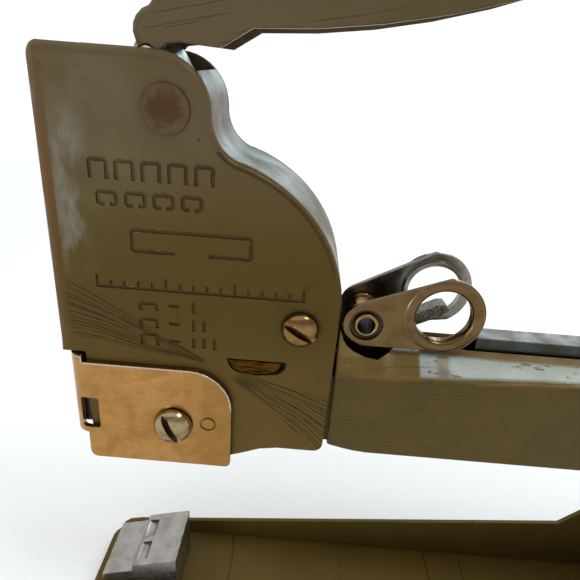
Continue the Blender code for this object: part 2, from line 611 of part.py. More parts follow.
def ring_lever(name, side, tilt):
    """Flat finger lever with a ring at its end, free to turn on the eyelet."""
    reach = RING_REACH
    lean = math.degrees(math.asin((RING_OUTER - 5.4) / reach))
    centre = (EYELET[0] + reach, EYELET[1])
    outline = arc(EYELET, 5.4, 90.0 + lean, 270.0 - lean, 12) + arc(centre, RING_OUTER, lean - 90.0, 90.0 - lean, 22)
    outline = [turn_point(p, EYELET, tilt) for p in outline]
    middle = turn_point(centre, EYELET, tilt)
    origin = (EYELET[0], 0.0, EYELET[1])
    low, high = sorted((side * RING_Y[0], side * RING_Y[1]))
    lever = soft_prism(name, outline, "Y", low, high, [0.3] * len(outline), NICKEL, 2, both=True, origin=origin)
    collar_edge = side * (RING_Y[0] - 1.2)
    low, high = sorted((collar_edge, side * (RING_Y[1] - 0.4)))
    collar = prism("cut_" + name + "_collar", circle(middle, RING_HOLE + 1.0, FINE), "Y", low, high, None)
    combine(lever, collar, "UNION")
    bell = [(RING_HOLE + 1.0, side * 7.5), (RING_HOLE + 0.7, side * RING_Y[1]), (RING_HOLE + 0.2, side * 5.7)]
    bell += [(RING_HOLE, side * 5.2), (RING_HOLE, side * 2.0)]
    combine(lever, turned("cut_" + name + "_hole", bell, "Y", middle, None, FINE))
    cut_round(lever, name + "_bore", "Y", EYELET, 2.45, -20.0, 20.0)
    low, high = sorted((side * (RING_Y[1] - 0.7), side * 20.0))
    cut_round(lever, name + "_recess", "Y", EYELET, 3.8, low, high)


def moving_on_magazine():
    """Finger rings, latch tongue, staple pusher and its spring."""
    ring_lever("near_ring_lever", -1.0, NEAR_TILT)
    ring_lever("far_ring_lever", 1.0, FAR_TILT)
    line = [(5.5, 57.2), LATCH_PIN, (23.0, 67.4), (34.6, 73.6)]
    half = 1.35
    upper = [(line[0][0], line[0][1] + half), (13.6, 59.7), (22.2, 68.4), (33.8, 74.9)]
    lower = [(34.0 + 1.3, 72.4), (23.9, 66.5), (17.0, 58.3), (15.6, 56.7), (6.6, 55.6), (5.5, 54.4)]
    tongue = upper + [(35.4, 75.2), (36.6, 74.0)] + lower
    origin = (LATCH_PIN[0], 0.0, LATCH_PIN[1])
    latch = prism("latch_tongue", tongue, "Y", -1.95, 1.95, DARK, origin)
    cut_round(latch, "latch_hole", "Y", LATCH_PIN, 1.2, -20.0, 20.0, 12)
    half = 6.3
    pusher = prism("staple_follower", box_outline(-half, half, 43.6, STAPLE_TOP), "X", -19.7, -6.0, BRASS)
    inner = CORE_HALF + GAP
    way = [(-inner, CORE_BOTTOM - GAP), (inner, CORE_BOTTOM - GAP), (inner, CORE_TOP + GAP), (-inner, CORE_TOP + GAP)]
    cut_prism(pusher, "pusher_way", way, "X", -30.0, 10.0)
    block = prism("cut_pusher_block", box_outline(-3.7, 3.7, 47.0, 51.6), "X", -19.7, -6.0, None)
    combine(pusher, block, "UNION")
    cut_round(pusher, "pusher_bore", "X", (0.0, ROD_Z), 1.15, -30.0, 10.0, 12)
    coil("follower_spring", "X", (0.0, ROD_Z), 1.6, 0.3, -5.7, 102.7, 20, WIRE, 9, 5)


def jaw_outline():
    """Side outline of the lower jaw and handle, anticlockwise from the front of the flat base."""
    points = [(JAW_FRONT + 1.5, FLOOR)] + arc((112.0, FLOOR + 230.0), 230.0, 270.0, 293.5, 7)
    points += arc((JAW_END - 7.0, 6.0), 7.0, -50.0, 90.0, 6)
    points += arc((185.0, 33.0), 20.0, 270.0, 205.0, 6) + arc(HINGE, 9.0, 10.0, 140.0, 8)
    points += arc((84.0, 62.0), 56.0, -32.0, -68.0, 6)
    points += [(90.0, -4.2), (JAW_FRONT + 8.0, FLOOR + 4.6), (JAW_FRONT, FLOOR + 2.6)]
    return points


def jaw():
    """Lower jaw and handle in one channel, with the anvil and hinge pin."""
    outline = jaw_outline()
    radii = [2.0 if z < FLOOR + 22.0 and i < 9 else 0.3 for i, (x, z) in enumerate(outline)]
    channel = soft_prism("lower_jaw", outline, "Y", -JAW_HALF, JAW_HALF, radii, PAINT, 3, both=True)
    inner = [(JAW_FRONT - 5.0, FLOOR + WEB_T)] + arc((112.0, FLOOR + 230.0), 230.0 - WEB_T, 270.0, 293.2, 7)
    inner += [(JAW_END + 2.0, 4.0), (JAW_END + 9.0, 80.0), (JAW_FRONT - 5.0, 80.0)]
    half = JAW_HALF - JAW_T
    cut_prism(channel, "jaw_inside", inner, "Y", -half, half)
    plan = [(JAW_END + 5.0, -JAW_HALF - 1.0), (JAW_END + 5.0, JAW_HALF + 1.0)]
    plan += arc((JAW_FRONT + 9.0, JAW_HALF - 8.0), 9.05, 90.0, 180.0, 6)
    plan += arc((JAW_FRONT + 9.0, 8.0 - JAW_HALF), 9.05, 180.0, 270.0, 6)
    combine(channel, prism("round_jaw", plan, "Z", FLOOR - 9.0, 90.0, None), "INTERSECT")
    cut_round(channel, "jaw_bore", "Y", HINGE, HINGE_R + 0.2, -20.0, 20.0)
    cut_round(channel, "spring_way", "Z", (SPRING_X - 4.0, 0.0), 1.9, FLOOR - 2.0, FLOOR + 5.0, SMALL)
    base = FLOOR + WEB_T + GAP
    slope = math.tan(math.radians(CLOSE_DEG))
    x0, x1 = ANVIL_X
    rear, front = [ANVIL_MID[1] + (x - ANVIL_MID[0]) * slope for x in (x1, x0)]
    step = ANVIL_MID[0] - 1.7
    shape = [(x0, base), (x1, base), (x1, rear), (step, ANVIL_MID[1] - 1.7 * slope)]
    shape += [(step, ANVIL_MID[1] - 2.4), (x0, front - 1.9)]
    anvil = prism("anvil", shape, "Y", -ANVIL_HALF, ANVIL_HALF, STEEL)
    for hand in (-1.0, 1.0):
        low, high = sorted((hand * 1.0, hand * 6.9))
        groove = circle((ANVIL_MID[0] + 0.2, ANVIL_MID[1] + 1.2), 1.9, SMALL)
        cut_prism(anvil, "groove%+d" % hand, groove, "Y", low, high)
    for x, name in ((x0 + 4.0, "anvil_rivet_front"), (x1 - 4.0, "anvil_rivet_rear")):
        cut_round(channel, name + "_seat", "Z", (x, 0.0), 3.2, FLOOR - 1.0, FLOOR + 1.1, SMALL)
        cut_round(channel, name + "_way", "Z", (x, 0.0), 1.9, FLOOR - 1.0, FLOOR + 5.0, SMALL)
        cut_round(anvil, name + "_hole", "Z", (x, 0.0), 1.8, FLOOR - 1.0, FLOOR + 7.0, SMALL)
        steps = [(2.9, 0.2), (2.9, 0.8), (1.55, 0.8), (1.55, 6.7)]
        turned(name, [(r, FLOOR + h) for r, h in steps], "Z", (x, 0.0), STEEL, SMALL)


def jaw_fittings():
    """Hinge pin, its ring and washers, and the bent leaf spring that holds the jaws open."""
    ear = JAW_HALF + GAP
    steps = [(2.9, -ear - 2.0), (4.2, -ear - 1.3), (4.2, -ear), (HINGE_R, -ear), (HINGE_R, ear + 2.0), (1.8, ear + 2.4)]
    turned("jaw_pin", steps, "Y", HINGE, STEEL)
    tube("jaw_pin_ring", HINGE_R + 0.2, 4.4, "Y", HINGE, ear, ear + 1.0, STEEL)
    for hand, name in ((-1.0, "hinge_washer_near"), (1.0, "hinge_washer_far")):
        low, high = sorted((hand * (ARM_HALF + GAP), hand * (JAW_HALF - JAW_T - GAP)))
        tube(name, HINGE_R + 0.3, 5.0, "Y", HINGE, low, high, STEEL)
    foot = FLOOR + WEB_T + GAP
    head_z = ARM_BOTTOM - GAP
    radius = 0.5 * (head_z - foot)
    bend = (SPRING_X + 1.0, foot + radius)
    outer = [(SPRING_X - 12.0, foot)] + arc(bend, radius, 270.0, 450.0, 16) + [(SPRING_X - 8.0, head_z)]
    inner = [(SPRING_X - 8.0, head_z - LEAF_T)] + arc(bend, radius - LEAF_T, 450.0, 270.0, 16)
    inner += [(SPRING_X - 12.0, foot + LEAF_T)]
    leaf = prism("jaw_spring", outer + inner, "Y", -6.0, 6.0, WIRE)
    cut_round(leaf, "leaf_hole", "Z", (SPRING_X - 4.0, 0.0), 1.9, FLOOR, 0.0, SMALL)
    rivet = [(1.55, FLOOR + 0.3), (1.55, foot + LEAF_T + GAP), (3.4, foot + LEAF_T + GAP)]
    rivet += [(3.2, foot + LEAF_T + 1.2), (2.0, foot + LEAF_T + 1.9)]
    turned("spring_rivet", rivet, "Z", (SPRING_X - 4.0, 0.0), STEEL, SMALL)


head()
nose()
fixings()
arm()
handle()
driver()
magazine()
moving_on_magazine()
jaw()
jaw_fittings()
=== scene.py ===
import json
import math

import bmesh
import bpy
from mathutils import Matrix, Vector


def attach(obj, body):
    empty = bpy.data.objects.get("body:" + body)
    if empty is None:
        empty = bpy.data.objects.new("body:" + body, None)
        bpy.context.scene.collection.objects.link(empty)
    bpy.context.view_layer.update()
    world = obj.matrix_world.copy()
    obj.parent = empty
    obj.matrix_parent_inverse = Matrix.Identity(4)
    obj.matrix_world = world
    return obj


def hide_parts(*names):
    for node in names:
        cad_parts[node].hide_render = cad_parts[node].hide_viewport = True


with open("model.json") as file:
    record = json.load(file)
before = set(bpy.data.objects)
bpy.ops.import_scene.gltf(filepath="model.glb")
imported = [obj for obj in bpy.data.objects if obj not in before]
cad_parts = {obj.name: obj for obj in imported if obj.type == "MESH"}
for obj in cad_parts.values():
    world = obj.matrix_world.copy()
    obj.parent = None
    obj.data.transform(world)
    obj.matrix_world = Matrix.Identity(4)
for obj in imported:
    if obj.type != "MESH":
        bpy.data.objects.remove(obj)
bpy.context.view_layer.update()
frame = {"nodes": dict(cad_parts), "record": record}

BODY_OF = {node: body for body, nodes in frame["record"]["behaviour"]["bodies"].items() for node in nodes}
MM = 0.001

# places on the side of the object as x and z, in millimetres
RIVET = (-25.1, 136.9)
WAIST = (-16.1, 83.2)
EYELET = (17.6, 93.5)
RING_REACH = 17.2

HEAD_SIDE_Y = (-11.1, -11.2)
GROOVE_FLOOR_Y = (-11.17, -11.05)
GROOVE_BACK_Y = (-10.8, -10.6)

# marked stretches of the object: low end, high end and softness, in millimetres
SHEEN_X, SHEEN_Z = (-47.5, -41.5, 2.5), (106.0, 134.0, 6.0)
SMUDGE_X, SMUDGE_Z = (-3.0, 6.0, 2.0), (98.0, 106.0, 2.0)
SCUFF_X, SCUFF_Z = (-40.0, -31.0, 3.0), (105.0, 112.0, 3.0)
SIGNS_X, SIGNS_Z = (-43.0, 9.0, 0.3), (85.5, 130.0, 0.3)
LOW_RUST_Z = (87.0, 106.0, 4.0)
HALO_REACH = (3.6, 4.1, 0.5)
ARM_COLUMN_X = (34.8, 37.6, 0.8)
WORN_GLINT_PATCH_X = (23.2, 30.6, 0.6)
RAIL_SIDE_Z = (76.0, 87.6, 0.3)

HAIR_WIDTH = 0.09
HAIR_COVER = (0.55, 0.59)
SHARP = math.radians(35.0)


# ---------------------------------------------------------------- node materials
class Look:
    """One node material. Values are sockets or plain numbers, and lengths are in millimetres."""

    def __init__(self, name, metallic=0.0):
        self.material = bpy.data.materials.new(name)
        self.material.use_nodes = True
        self.nodes = self.material.node_tree.nodes
        self.links = self.material.node_tree.links
        self.nodes.clear()
        self.shader = self.nodes.new("ShaderNodeBsdfPrincipled")
        self.shader.inputs["Metallic"].default_value = metallic
        output = self.nodes.new("ShaderNodeOutputMaterial")
        self.links.new(self.shader.outputs[0], output.inputs[0])
        place = self.nodes.new("ShaderNodeTexCoord").outputs["Object"]
        self.place = self.vector("SCALE", place, scale=1.0 / MM)
        split = self.nodes.new("ShaderNodeSeparateXYZ")
        self.feed(split.inputs[0], self.place)
        self.x, self.y, self.z = split.outputs
        self.geometry = self.nodes.new("ShaderNodeNewGeometry")

    def feed(self, socket, value):
        if isinstance(value, bpy.types.NodeSocket):
            self.links.new(value, socket)
        else:
            socket.default_value = value

    def math(self, operation, a, b=0.0, c=0.0):
        node = self.nodes.new("ShaderNodeMath")
        node.operation = operation
        for socket, value in zip(node.inputs, (a, b, c)):
            self.feed(socket, value)
        return node.outputs[0]

    def product(self, *values):
        total = values[0]
        for value in values[1:]:
            total = self.math("MULTIPLY", total, value)
        return total

    def most(self, *values):
        total = values[0]
        for value in values[1:]:
            total = self.math("MAXIMUM", total, value)
        return total

    def vector(self, operation, a, b=None, scale=None):
        node = self.nodes.new("ShaderNodeVectorMath")
        node.operation = operation
        self.feed(node.inputs[0], a)
        if b is not None:
            self.feed(node.inputs[1], b)
        if scale is not None:
            node.inputs["Scale"].default_value = scale
        return node.outputs["Value" if operation == "DOT_PRODUCT" else "Vector"]

    def join(self, x, y, z):
        node = self.nodes.new("ShaderNodeCombineXYZ")
        for socket, value in zip(node.inputs, (x, y, z)):
            self.feed(socket, value)
        return node.outputs[0]

    def ease(self, value, low, high, first=0.0, last=1.0):
        """Go smoothly from first to last as the value goes from low to high."""
        node = self.nodes.new("ShaderNodeMapRange")
        node.interpolation_type = "SMOOTHSTEP"
        for socket, number in zip(node.inputs, (value, low, high, first, last)):
            self.feed(socket, number)
        return node.outputs[0]

    def window(self, value, low, high, soft):
        """One between low and high, nothing outside."""
        rise = self.ease(value, low - soft, low + soft)
        fall = self.ease(value, high - soft, high + soft, 1.0, 0.0)
        return self.product(rise, fall)

    def area(self, x, z):
        """One inside a patch of the side plane, given its stretch in x and in z."""
        return self.product(self.window(self.x, *x), self.window(self.z, *z))

    def noise(self, size, detail=2.0, rough=0.5, stretch=(1.0, 1.0, 1.0), seed=0.0, place=None):
        """Cloudy noise with features of about that size."""
        at = self.vector("MULTIPLY", place or self.place, tuple(s / size for s in stretch))
        at = self.vector("ADD", at, (seed, seed * 1.7, seed * 0.6))
        node = self.nodes.new("ShaderNodeTexNoise")
        self.feed(node.inputs["Vector"], at)
        node.inputs["Scale"].default_value = 1.0
        node.inputs["Detail"].default_value = detail
        node.inputs["Roughness"].default_value = rough
        return node.outputs[0]

    def dots(self, size, radius, seed=0.0):
        """Scattered small round spots."""
        at = self.vector("MULTIPLY", self.place, (1.0 / size,) * 3)
        at = self.vector("ADD", at, (seed, seed, seed))
        node = self.nodes.new("ShaderNodeTexVoronoi")
        self.feed(node.inputs["Vector"], at)
        node.inputs["Scale"].default_value = 1.0
        sparse = self.ease(self.noise(size * 2.3, 1.0, seed=seed + 3.0), 0.52, 0.60)
        return self.product(self.ease(node.outputs["Distance"], radius * 0.5, radius, 1.0, 0.0), sparse)

    def distance(self, x, z):
        """Distance in the side plane from a point."""
        across = self.math("SUBTRACT", self.x, x)
        up = self.math("SUBTRACT", self.z, z)
        return self.math("SQRT", self.math("ADD", self.product(across, across), self.product(up, up)))

    def edges(self, radius=0.6):
        """How near the surface is to an outer or inner corner."""
        node = self.nodes.new("ShaderNodeBevel")
        node.samples = 4
        node.inputs["Radius"].default_value = radius * MM
        dot = self.vector("DOT_PRODUCT", node.outputs[0], self.geometry.outputs["Normal"])
        return self.ease(dot, 0.995, 0.90)

    def mix(self, amount, a, b):
        node = self.nodes.new("ShaderNodeMix")
        node.data_type = "RGBA"
        self.feed(node.inputs[0], amount)
        for socket, value in zip(node.inputs[6:8], (a, b)):
            self.feed(socket, (*value, 1.0) if isinstance(value, tuple) else value)
        return node.outputs[2]

    def cells(self, value):
        """Random cells along a value: the distance to each one's middle, and a random number for each."""
        node = self.nodes.new("ShaderNodeTexVoronoi")
        node.voronoi_dimensions = "1D"
        self.feed(node.inputs["W"], value)
        node.inputs["Scale"].default_value = 1.0
        split = self.nodes.new("ShaderNodeSeparateColor")
        self.feed(split.inputs[0], node.outputs["Color"])
        return node.outputs["Distance"], split.outputs[0]

    def streaks(self, angle, gap, length, seed):
        """Straight patchy scratches at an angle in the side plane."""
        turn = math.radians(angle)
        along = self.math("ADD", self.product(self.x, math.cos(turn)), self.product(self.z, math.sin(turn)))
        rise, run = self.product(self.z, math.cos(turn)), self.product(self.x, math.sin(turn))
        across = self.math("SUBTRACT", rise, run)
        across = self.math("ADD", across, self.product(self.noise(length * 1.5, 1.0, seed=seed), 2.5))
        reach, chance = self.cells(self.product(self.math("ADD", across, seed), 1.0 / gap))
        mask = self.ease(reach, 0.3 * HAIR_WIDTH / gap, HAIR_WIDTH / gap, 1.0, 0.0)
        spot = self.join(self.product(along, 1.0 / length), self.product(chance, 40.0), seed)
        return self.product(mask, self.ease(self.noise(1.0, 1.0, place=spot), *HAIR_COVER))

    def hollow_grime_and_shade(self, reach=1.5):
        """One deep in corners and slots, nothing on open faces: it marks grime there together with painted
        shade.
        """
        node = self.nodes.new("ShaderNodeAmbientOcclusion")
        node.samples = 6
        node.inputs["Distance"].default_value = reach * MM
        return self.ease(node.outputs["AO"], 0.75, 0.35)

    def finish(self, colour, roughness, height=None, depth=0.05):
        self.feed(self.shader.inputs["Base Color"], colour)
        self.feed(self.shader.inputs["Roughness"], roughness)
        if height is not None:
            bump = self.nodes.new("ShaderNodeBump")
            bump.inputs["Strength"].default_value = 1.0
            bump.inputs["Distance"].default_value = depth * MM
            self.feed(bump.inputs["Height"], height)
            self.feed(self.shader.inputs["Normal"], bump.outputs[0])
        return self.material


WHITE = (1.0, 1.0, 1.0, 1.0)
WARM_SHINE = (1.0, 0.84, 0.55, 1.0)
MATT = 0.2

OLIVE = (0.066, 0.042, 0.006)
WARM = (0.096, 0.060, 0.012)
TAUPE = (0.096, 0.069, 0.036)
CLOUDED = (0.060, 0.038, 0.010)
DUST = (0.12, 0.085, 0.035)
BROWN = (0.030, 0.012, 0.003)
DIRT_AND_SHADE = (0.020, 0.012, 0.004)
BARE = (0.34, 0.20, 0.09)
RUST = (0.130, 0.052, 0.010)
PAINTED_SHEEN = (0.200, 0.190, 0.160)
SMUDGE = (0.040, 0.020, 0.008)
RIVET_STAIN = (0.056, 0.025, 0.009)
SIGN_DIRT = (0.050, 0.025, 0.008)
SCUFF = (0.05, 0.028, 0.012)

ARM_BLOTCH = (0.056, 0.040, 0.012)
ARM_RIDGE_RUST_AND_GLINT = (0.20, 0.10, 0.035)
ARM_BROWN = (0.150, 0.090, 0.025)
ARM_RUST = (0.17, 0.105, 0.045)
ARM_SKY_REFLECTION = (0.36, 0.40, 0.39)
ARM_WORN_GLINT = (0.46, 0.54, 0.54)

GRIME_AND_SHADE = (0.020, 0.012, 0.006)
GOLD_REAR_SHADE = (0.24, 0.125, 0.030)
GOLD_EDGE_HIGHLIGHT = (0.86, 0.80, 0.78)
RAIL_SHADOW = (0.012, 0.010, 0.007)
BORE_SHADE = (0.016, 0.010, 0.006)
LEVER_RIM_HIGHLIGHT = (0.42, 0.36, 0.30)
LEVER_OIL_AND_SHADE = (0.030, 0.017, 0.007)
KEY_BRIGHT = (0.105, 0.042, 0.005)
KEY_DARK = (0.020, 0.008, 0.002)
CAST_DARK = (0.07, 0.062, 0.048)
CAST_LIGHT = (0.27, 0.245, 0.20)
CAST_UNDER_SHADE = (0.022, 0.016, 0.008)


def enamel(look, seed=0.0, gloss=0.15):
    """Worn semi-gloss enamel: returns its colour, roughness and height, ready for local damage."""
    upper = look.ease(look.z, 106.0, 136.0)
    cloud = look.ease(look.noise(16.0, 3.0, 0.55, seed=seed), 0.25, 0.6, 0.75, 1.0)
    clouded = look.ease(look.noise(24.0, 5.0, 0.6, seed=seed + 5.0), 0.42, 0.72, 0.0, 0.4)
    fine = look.noise(0.45, 2.0, 0.6, seed=seed + 9.0)
    pits = look.dots(5.2, 0.055, seed)
    colour = look.mix(look.ease(look.z, 74.0, 96.0), WARM, OLIVE)
    colour = look.mix(look.product(upper, cloud), colour, TAUPE)
    colour = look.mix(clouded, colour, CLOUDED)
    colour = look.mix(look.ease(fine, 0.35, 0.75, 0.0, 0.14), colour, DUST)
    # grime and painted shade: corners and slots darkened
    colour = look.mix(look.product(look.hollow_grime_and_shade(), 0.7), colour, DIRT_AND_SHADE)
    colour = look.mix(look.product(pits, 0.9), colour, DIRT_AND_SHADE)
    smear = look.noise(9.0, 4.0, 0.65, seed=seed + 14.0)
    rough = look.ease(smear, 0.3, 0.7, 0.26, 0.46)
    peel = look.noise(1.6, 2.0, 0.5, seed=seed + 20.0)
    height = look.math("ADD", look.product(peel, 0.25), look.product(fine, 0.08))
    height = look.math("SUBTRACT", height, look.product(pits, 1.2))
    look.shader.inputs["Specular IOR Level"].default_value = gloss
    look.shader.inputs["Specular Tint"].default_value = WARM_SHINE if gloss < MATT else WHITE
    return colour, rough, height


def chipped(look, colour, height, seed, amount):
    """Paint rubbed off along the corners, down to brown primer and then bare metal."""
    edge = look.edges(0.55)
    patch = look.noise(3.2, 4.0, 0.7, seed=seed + 30.0)
    worn = look.product(edge, look.ease(patch, 0.46, 0.60, 0.0, amount))
    colour = look.mix(look.product(worn, 0.85), colour, BROWN)
    bright = look.product(edge, look.ease(patch, 0.60, 0.68, 0.0, amount))
    colour = look.mix(look.product(bright, 0.55), colour, BARE)
    return colour, look.math("SUBTRACT", height, look.product(worn, 0.5))


def scratched(look, colour, height, mask, strength):
    """Dark hairline scratches."""
    colour = look.mix(look.product(mask, strength), colour, BROWN)
    return colour, look.math("SUBTRACT", height, look.product(mask, 0.9))


def fan(look, seed, side, step, start, end, low, high):
    """Hairlines that spread from the waist between two angles, on one side of it."""
    across = look.product(look.math("SUBTRACT", look.x, WAIST[0]), side)
    drop = look.product(look.math("SUBTRACT", WAIST[1], look.z), side)
    angle = look.product(look.math("ARCTAN2", drop, across), math.degrees(1.0))
    reach = look.distance(*WAIST)
    wobble = look.ease(look.noise(30.0, 1.0, seed=seed), 0.2, 0.8, -4.0, 4.0)
    bend = look.math("ADD", look.math("ADD", angle, wobble), seed)
    off_line, chance = look.cells(look.product(bend, 1.0 / step))
    spot = look.join(look.product(reach, 0.09), look.product(chance, 50.0), seed)
    weight = look.ease(look.noise(1.0, 2.0, 0.6, place=spot), 0.30, 0.64, 0.0, 1.25)
    wide = look.product(look.math("DIVIDE", 15.0, look.math("ADD", reach, 4.0)), weight)
    mask = look.ease(off_line, look.product(wide, 0.3 / step), look.product(wide, 1.1 / step), 1.0, 0.0)
    inside = look.product(look.window(angle, start, end, 0.5), look.window(reach, low, high, 1.5))
    broken = look.ease(weight, 0.12, 0.3)
    return look.product(mask, inside, broken)


def head_paint(name, gloss):
    """The head's enamel, with a rusty front, a stained rivet, a fan of scratches and dirt in its signs."""
    look = Look(name)
    colour, rough, height = enamel(look, 1.0, gloss)
    colour, height = chipped(look, colour, height, 1.0, 0.9)
    side = look.ease(look.y, *HEAD_SIDE_Y)

    patch = look.noise(7.0, 5.0, 0.7, stretch=(1.6, 1.0, 0.45), seed=40.0)
    front = look.product(look.ease(look.x, -46.6, -49.2), look.ease(patch, 0.34, 0.56))
    low_rust = look.product(look.ease(look.x, -48.4, -50.2), look.window(look.z, *LOW_RUST_Z))
    front = look.most(front, look.product(low_rust, look.ease(patch, 0.25, 0.45)))
    colour = look.mix(look.product(front, 0.92), colour, RUST)
    rough = look.math("ADD", rough, look.product(front, 0.25))

    # painted sheen: a pale patch on the front of the side stands for reflected light
    haze = look.ease(look.noise(9.0, 4.0, 0.6, stretch=(1.5, 1.0, 0.7), seed=41.0), 0.38, 0.6)
    colour = look.mix(look.product(look.area(SHEEN_X, SHEEN_Z), haze, side, 0.6), colour, PAINTED_SHEEN)
    specks = look.ease(look.noise(2.0, 4.0, 0.7, seed=42.0), 0.55, 0.63)
    colour = look.mix(look.product(look.area(SMUDGE_X, SMUDGE_Z), specks, side, 0.7), colour, SMUDGE)

    ring = look.distance(*RIVET)
    ragged = look.ease(look.noise(2.2, 4.0, 0.7, seed=44.0), 0.2, 0.8, -1.3, 1.3)
    stain = look.product(look.ease(look.math("ADD", ring, ragged), 1.6, 5.4, 1.0, 0.0), side)
    colour = look.mix(look.product(stain, 0.9), colour, RIVET_STAIN)
    rough = look.math("ADD", rough, look.product(stain, 0.3))
    halo = look.product(look.window(ring, *HALO_REACH), side)
    height = look.math("ADD", height, look.product(halo, 0.7))

    left = fan(look, 51.0, -1.0, 1.7, 9.0, 31.0, 2.0, 44.0)
    right = fan(look, 57.0, 1.0, 1.9, 14.0, 40.0, 6.0, 46.0)
    colour, height = scratched(look, colour, height, look.product(look.most(left, right), side), 0.92)

    depth = look.product(look.ease(look.y, *GROOVE_FLOOR_Y), look.ease(look.y, *GROOVE_BACK_Y, 1.0, 0.0))
    colour = look.mix(look.product(depth, look.area(SIGNS_X, SIGNS_Z), 0.9), colour, SIGN_DIRT)
    rubs = look.ease(look.noise(3.0, 4.0, 0.7, seed=61.0), 0.45, 0.65)
    colour = look.mix(look.product(look.area(SCUFF_X, SCUFF_Z), rubs, side, 0.5), colour, SCUFF)
    return look.finish(colour, rough, height, 0.06)


def arm_paint():
    """The arm's enamel, with a painted pale sky reflection above the ridge along its side."""
    look = Look("arm_enamel")
    colour, rough, height = enamel(look, 3.0, 0.19)
    blotch = look.noise(7.0, 4.0, 0.6, stretch=(0.7, 1.0, 1.2), seed=79.0)
    colour = look.mix(look.ease(blotch, 0.3, 0.7, 0.35, 0.75), colour, ARM_BLOTCH)
    colour, height = chipped(look, colour, height, 3.0, 0.7)

    above = look.math("SUBTRACT", look.z, look.ease(look.x, 27.0, 66.0, 82.6, 84.1))
    # rust and a painted highlight along the ridge's bend
    patch = look.noise(6.0, 4.0, 0.7, stretch=(0.4, 1.0, 1.0), seed=70.0)
    ridge_rust_and_glint = look.product(look.window(above, -0.3, 0.5, 0.4), look.ease(patch, 0.42, 0.62))
    colour = look.mix(look.product(ridge_rust_and_glint, 0.5), colour, ARM_RIDGE_RUST_AND_GLINT)
    brown = look.product(look.ease(above, -0.2, 0.8), look.ease(look.x, 30.4, 31.2, 1.0, 0.0))
    colour = look.mix(look.product(brown, 0.6), colour, ARM_BROWN)

    shelf = look.ease(above, 0.4, 1.2)
    column = look.product(look.window(look.x, *ARM_COLUMN_X), 0.7)
    spots = look.ease(look.noise(3.0, 4.0, 0.7, stretch=(0.6, 1.6, 1.0), seed=74.0), 0.58, 0.66)
    rusty = look.product(shelf, look.most(column, spots, look.ease(look.z, 86.6, 87.2)))
    colour = look.mix(look.product(rusty, 0.7), colour, ARM_RUST)
    # painted reflection of the sky on the shelf above the ridge
    sky_reflection = look.product(shelf, look.ease(look.x, 30.4, 31.2), look.math("SUBTRACT", 1.0, rusty))
    colour = look.mix(look.product(sky_reflection, 0.75), colour, ARM_SKY_REFLECTION)
    # worn paint and a painted highlight on the rim near the head
    flecks = look.ease(look.noise(1.4, 3.0, 0.6, seed=81.0), 0.3, 0.44)
    worn = look.product(look.window(look.x, *WORN_GLINT_PATCH_X), look.ease(look.z, 86.9, 87.5), flecks)
    colour = look.mix(look.product(worn, 0.9), colour, ARM_WORN_GLINT)

    rough = look.math("SUBTRACT", rough, look.product(shelf, 0.18))
    colour, height = scratched(look, colour, height, look.streaks(4.0, 1.6, 30.0, 77.0), 0.25)
    return look.finish(colour, rough, height, 0.05)


def plain_paint(name, seed):
    """Enamel with only general wear, for the parts out of sight."""
    look = Look(name)
    colour, rough, height = enamel(look, seed)
    colour, height = chipped(look, colour, height, seed, 1.0)
    colour, height = scratched(look, colour, height, look.streaks(12.0, 1.6, 26.0, seed + 3.0), 0.6)
    return look.finish(colour, rough, height, 0.06)


def metal(
    name, bright, dull, rough, seed, tarnish=0.5, stain=None, brush=(1.0, 1.0, 1.0), grime_and_shade_amount=0.85, hairs=1.0,
    local=None,
):
    """Plated or bare metal with tarnish clouds, hairlines, and darker corners from grime and painted shade.
    """
    look = Look(name, 1.0)
    cloud = look.noise(4.5, 4.0, 0.65, seed=seed)
    colour = look.mix(look.ease(cloud, 0.35, 0.72, 0.0, tarnish), bright, dull)
    if stain:
        spots = look.ease(look.noise(2.4, 4.0, 0.7, seed=seed + 4.0), 0.60, 0.70)
        patch = look.product(look.most(look.edges(0.5), spots), look.ease(cloud, 0.40, 0.60))
        colour = look.mix(look.product(patch, 0.8), colour, stain)
    if local:
        colour = local(look, colour)
    # grime and painted shade darken the corners and slots
    grime_and_shade = look.hollow_grime_and_shade(2.0)
    colour = look.mix(look.product(grime_and_shade, grime_and_shade_amount), colour, GRIME_AND_SHADE)
    hair = look.most(look.streaks(18.0, 0.8, 14.0, seed + 11.0), look.streaks(-52.0, 0.9, 11.0, seed + 13.0))
    hair = look.product(hair, hairs)
    level = look.ease(cloud, 0.3, 0.7, rough * 0.8, rough * 1.35)
    level = look.math("ADD", level, look.product(look.most(hair, grime_and_shade), 0.15))
    fine = look.noise(0.5, 3.0, 0.6, stretch=brush, seed=seed + 8.0)
    height = look.math("SUBTRACT", look.product(fine, 0.35), look.product(hair, 0.5))
    return look.finish(colour, level, height, 0.02)


def plate_painted_light(look, colour):
    """Painted light on the nose plate: a painted highlight along its rolled top edges and painted shade
    towards its rear.
    """
    # painted shade towards the plate's rear
    colour = look.mix(look.ease(look.x, -27.0, -12.5, 0.0, 0.55), colour, GOLD_REAR_SHADE)
    # a painted highlight along the top edge
    slanted = look.math("ADD", look.z, look.ease(look.x, -24.0, -12.0, 0.0, 8.0))
    top = look.product(look.edges(0.8), look.ease(slanted, 79.5, 81.0))
    return look.mix(look.product(top, 0.6), colour, GOLD_EDGE_HIGHLIGHT)


def rail_painted_shadow(look, colour):
    """Painted shadow: the rail's side is black below its top edge, where shade falls."""
    return look.mix(look.product(look.window(look.z, *RAIL_SIDE_Z), 0.85), colour, RAIL_SHADOW)


def eyelet_bore_shade(look, colour):
    """Painted shade in the eyelet's bore, which is dark."""
    bore = look.ease(look.distance(*EYELET), 1.95, 2.2, 1.0, 0.0)
    return look.mix(look.product(bore, 0.97), colour, BORE_SHADE)


